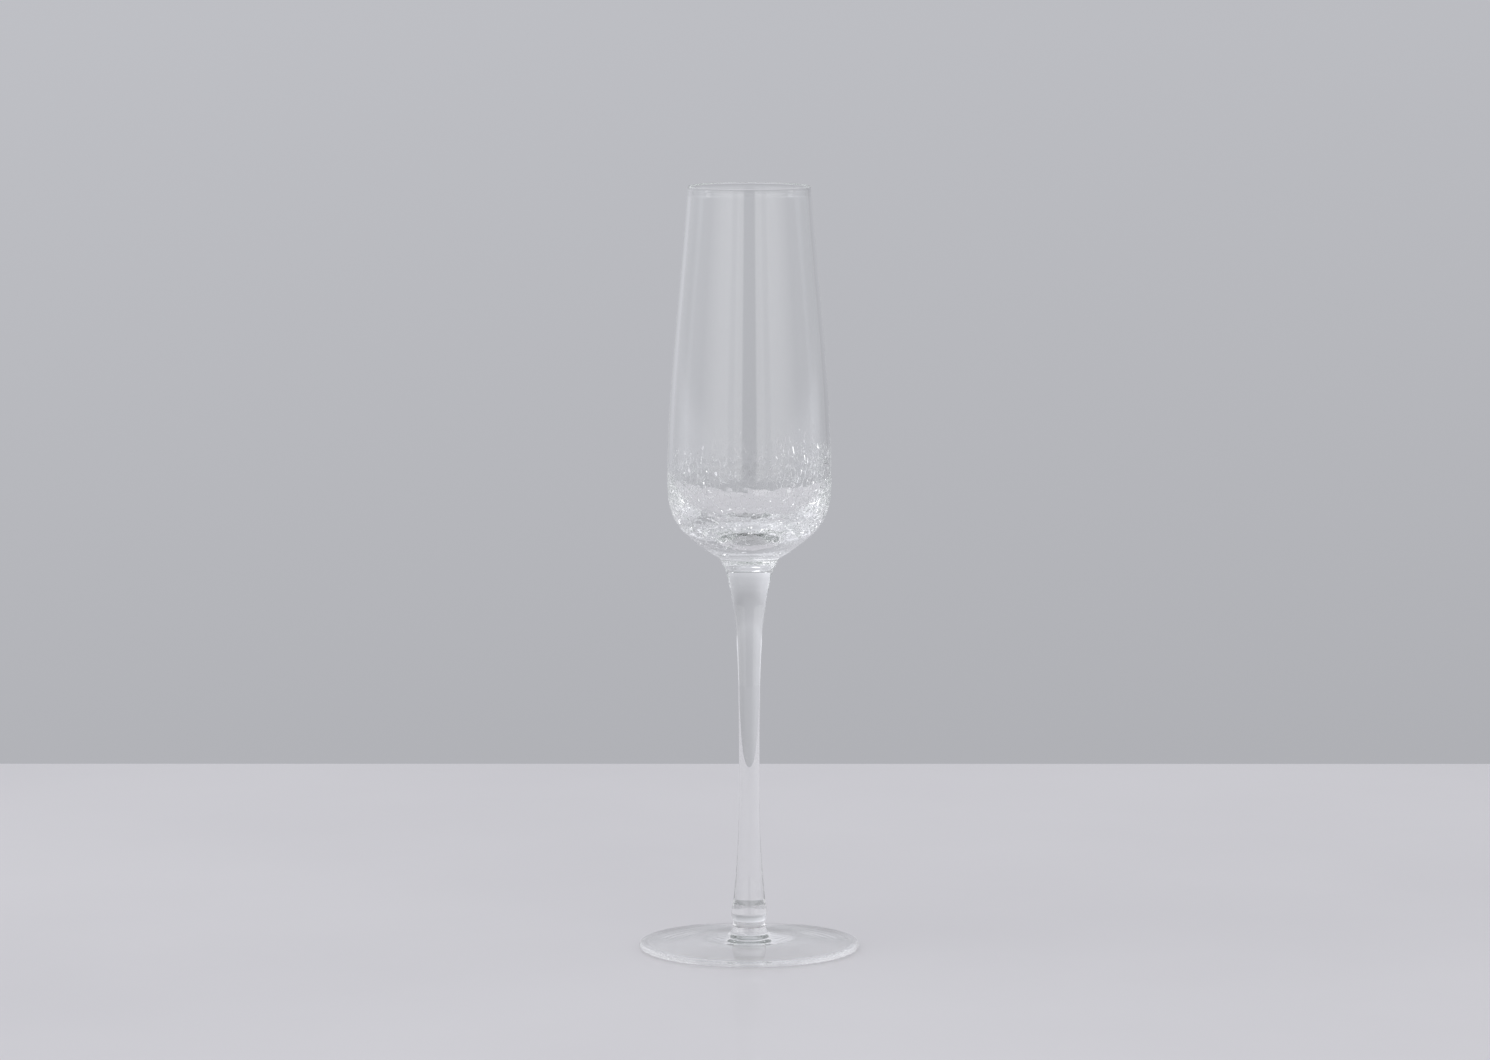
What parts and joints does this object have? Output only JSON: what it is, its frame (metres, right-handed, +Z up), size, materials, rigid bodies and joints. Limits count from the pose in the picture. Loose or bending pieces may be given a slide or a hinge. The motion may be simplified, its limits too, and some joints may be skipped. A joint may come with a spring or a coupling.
{
  "type": "champagne flute",
  "caption": "Tall stemmed glass flute with a tapered bowl, a crackled layer cased in clear glass low in the bowl, a drawn stem, a small button and a round foot.",
  "frame": {"origin": "centre of the foot's standing ring, on the table under the stem", "axes": "+Z up along the axis of the stem and bowl, towards the rim; the glass is round about Z, so +X and +Y are free"},
  "size_m": [0.072, 0.072, 0.25],
  "materials": {
    "crackled_glass": "clear, polished, with fused crackle low in the bowl",
    "clear_glass": "clear, fire polished"
  },
  "bodies": {
    "root": {"bowl": "crackled_glass", "bowl_casing": "clear_glass", "stem": "clear_glass", "stem_button": "clear_glass", "foot": "clear_glass"}
  },
  "joints": []
}
